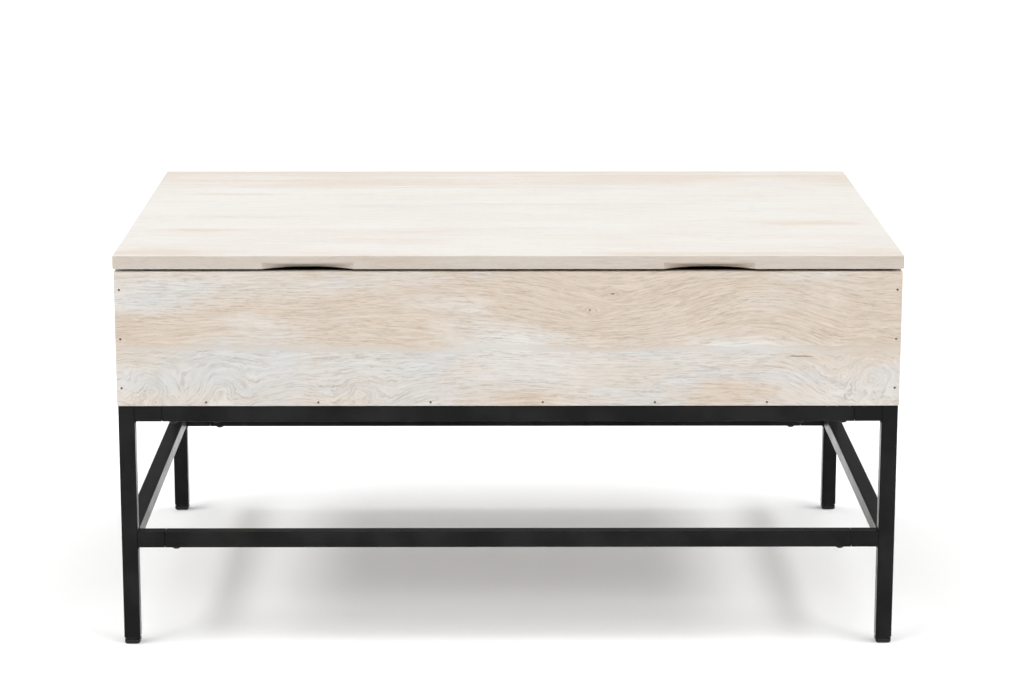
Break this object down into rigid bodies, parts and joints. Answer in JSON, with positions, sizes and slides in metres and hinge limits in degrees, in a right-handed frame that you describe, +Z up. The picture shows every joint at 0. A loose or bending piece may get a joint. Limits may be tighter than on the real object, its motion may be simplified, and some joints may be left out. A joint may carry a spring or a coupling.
{
  "type": "lift top coffee table",
  "caption": "Low rectangular coffee table: pale wooden storage box whose boarded lid lifts up and forward on sprung parallel arms, on a black square-tube steel base.",
  "frame": {"origin": "on the floor under the middle of the table", "axes": "+X along the long side, to the right of someone at the front; +Y to the back, away from the finger pulls; +Z up"},
  "size_m": [0.916, 0.612, 0.47],
  "materials": {
    "lid_wood": "whitewashed, satin lacquer, pale grain",
    "box_wood": "whitewashed, satin lacquer, warm beige grain",
    "bottom_board": "plain plywood, matt",
    "cleat_wood": "plain hardwood, matt",
    "black_steel": "black powder coat, fine texture",
    "black_bolts": "black oxide, satin",
    "glide_plastic": "black moulded, matt",
    "bumper_rubber": "translucent grey, soft",
    "sleeve_steel": "raw drawn steel",
    "brad_steel": "dull, painted over",
    "plated_steel": "zinc plated sheet, satin",
    "plated_fasteners": "zinc plated, bright",
    "spring_steel": "drawn wire, lightly oiled"
  },
  "bodies": {
    "root": {"leg_front_left": "black_steel", "leg_front_right": "black_steel", "leg_rear_left": "black_steel", "leg_rear_right": "black_steel", "foot_glide_front_left": "glide_plastic", "foot_glide_front_right": "glide_plastic", "foot_glide_rear_left": "glide_plastic", "foot_glide_rear_right": "glide_plastic", "side_rail_top_left": "black_steel", "side_rail_top_right": "black_steel", "side_rail_low_left": "black_steel", "side_rail_low_right": "black_steel", "rail_stubs_left": "black_steel", "rail_stubs_right": "black_steel", "front_rail_top": "black_steel", "front_rail_low": "black_steel", "rear_rail_top": "black_steel", "rear_rail_low": "black_steel", "rail_sleeves": "sleeve_steel", "rail_bolts": "black_bolts", "frame_welds": "black_steel", "box_screws": "black_bolts", "box_front_panel": "box_wood", "box_back_panel": "box_wood", "box_left_panel": "box_wood", "box_right_panel": "box_wood", "box_bottom_panel": "bottom_board", "corner_brads": "brad_steel", "bottom_brads": "brad_steel", "lid_bumpers": "bumper_rubber", "left_base_plate": "plated_steel", "right_base_plate": "plated_steel", "base_plate_screws": "plated_fasteners", "base_pivot_pins": "plated_fasteners", "base_pivot_washers": "plated_fasteners", "stop_pins": "plated_fasteners", "spring_anchor_pins": "plated_fasteners"},
    "rear_arms": {"left_rear_arm": "plated_steel", "right_rear_arm": "plated_steel", "spring_tail_pins": "plated_fasteners"},
    "front_arms": {"left_front_arm": "plated_steel", "right_front_arm": "plated_steel"},
    "springs": {"left_lift_spring": "spring_steel", "right_lift_spring": "spring_steel"},
    "lid": {"lid_board_1": "lid_wood", "lid_board_2": "lid_wood", "lid_board_3": "lid_wood", "lid_board_4": "lid_wood", "lid_board_5": "lid_wood", "left_lid_cleat": "cleat_wood", "right_lid_cleat": "cleat_wood", "cleat_screws": "plated_fasteners", "left_lid_bracket": "plated_steel", "right_lid_bracket": "plated_steel", "bracket_screws": "plated_fasteners", "lid_pivot_pins": "plated_fasteners", "lid_pivot_washers": "plated_fasteners"}
  },
  "joints": [
    {"name": "lift", "type": "hinge", "parent": "root", "child": "rear_arms", "pos_m": [0, -0.1, 0.35067], "axis": [1, 0, 0], "range_deg": [0, 100]},
    {"name": "front_arm_swing", "type": "hinge", "parent": "root", "child": "front_arms", "pos_m": [0, -0.16, 0.38067], "axis": [1, 0, 0], "range_deg": [0, 100]},
    {"name": "lid_level", "type": "hinge", "parent": "rear_arms", "child": "lid", "pos_m": [0, 0.11173, 0.388], "axis": [1, 0, 0], "range_deg": [-100, 0]},
    {"name": "spring_swing", "type": "hinge", "parent": "root", "child": "springs", "pos_m": [0, 0, 0.311], "axis": [1, 0, 0], "range_deg": [0, 7.7], "deforming": ["left_lift_spring", "right_lift_spring"]}
  ],
  "couplings": [
    {"joint": "front_arm_swing", "follows": "lift", "ratio": 1},
    {"joint": "lid_level", "follows": "lift", "ratio": -1},
    {"joint": "spring_swing", "follows": "lift", "ratio": 0.07608}
  ]
}
